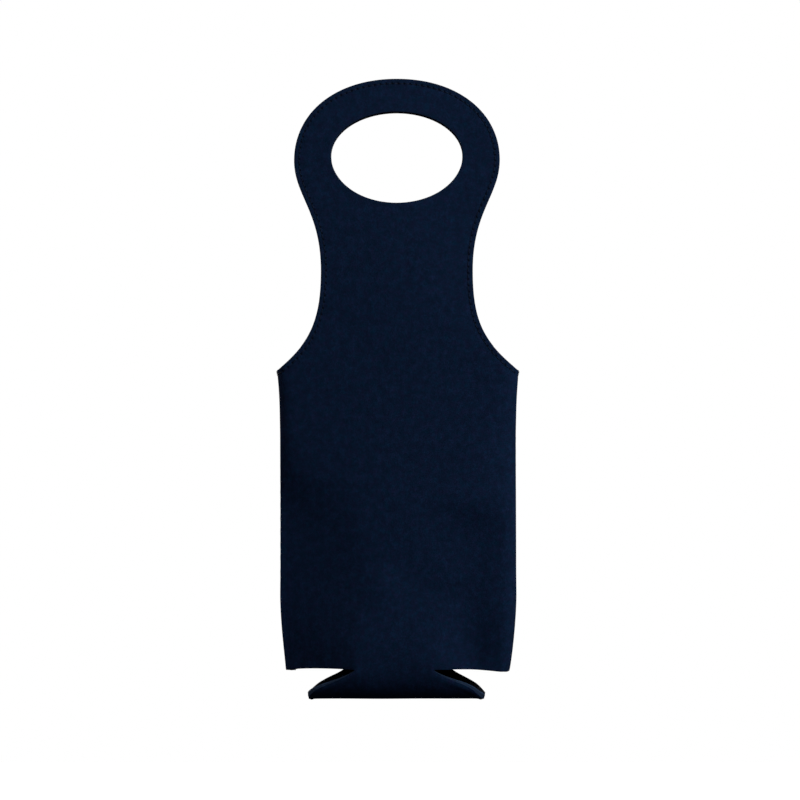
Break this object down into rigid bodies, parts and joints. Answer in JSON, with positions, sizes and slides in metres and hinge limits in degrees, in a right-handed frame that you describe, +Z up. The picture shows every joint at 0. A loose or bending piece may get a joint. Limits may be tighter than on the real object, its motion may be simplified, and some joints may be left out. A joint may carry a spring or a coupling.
{
  "type": "bottle carrier",
  "caption": "Soft padded bottle sleeve with ring handles that fold outwards at its mouth and an oval foot slung between its front and back panels.",
  "frame": {"origin": "the grip: midway between the front and back handle, at the top edge of their hand holes, where a hand or a hook carries the hanging carrier", "axes": "+Z up towards the tops of the handles, +Y from the front panel to the back panel, +X from the left side seam to the right one, seen from the front"},
  "size_m": [0.14, 0.0378, 0.3601],
  "materials": {
    "knit_cover": "matte",
    "neoprene_foam": "matte",
    "knit_lining": "matte",
    "sewing_thread": "matte"
  },
  "bodies": {
    "sleeve": {"front_panel_cover": "knit_cover", "front_panel_foam": "neoprene_foam", "front_panel_lining": "knit_lining", "back_panel_cover": "knit_cover", "back_panel_foam": "neoprene_foam", "back_panel_lining": "knit_lining", "base_cover": "knit_cover", "base_foam": "neoprene_foam", "base_lining": "knit_lining", "left_side_seam": "sewing_thread", "right_side_seam": "sewing_thread", "front_shoulder_stitching": "sewing_thread", "back_shoulder_stitching": "sewing_thread"},
    "front_handle": {"front_handle_cover": "knit_cover", "front_handle_foam": "neoprene_foam", "front_handle_lining": "knit_lining", "front_handle_stitching": "sewing_thread"},
    "back_handle": {"back_handle_cover": "knit_cover", "back_handle_foam": "neoprene_foam", "back_handle_lining": "knit_lining", "back_handle_stitching": "sewing_thread"}
  },
  "joints": [
    {"name": "front_handle_fold", "type": "hinge", "parent": "sleeve", "child": "front_handle", "pos_m": [0, -0.00675, -0.13214], "axis": [1, 0, 0], "range_deg": [0, 75], "stiffness_Nm_per_rad": 0.01},
    {"name": "back_handle_fold", "type": "hinge", "parent": "sleeve", "child": "back_handle", "pos_m": [0, 0.00675, -0.13214], "axis": [-1, 0, 0], "range_deg": [0, 75], "stiffness_Nm_per_rad": 0.01}
  ]
}
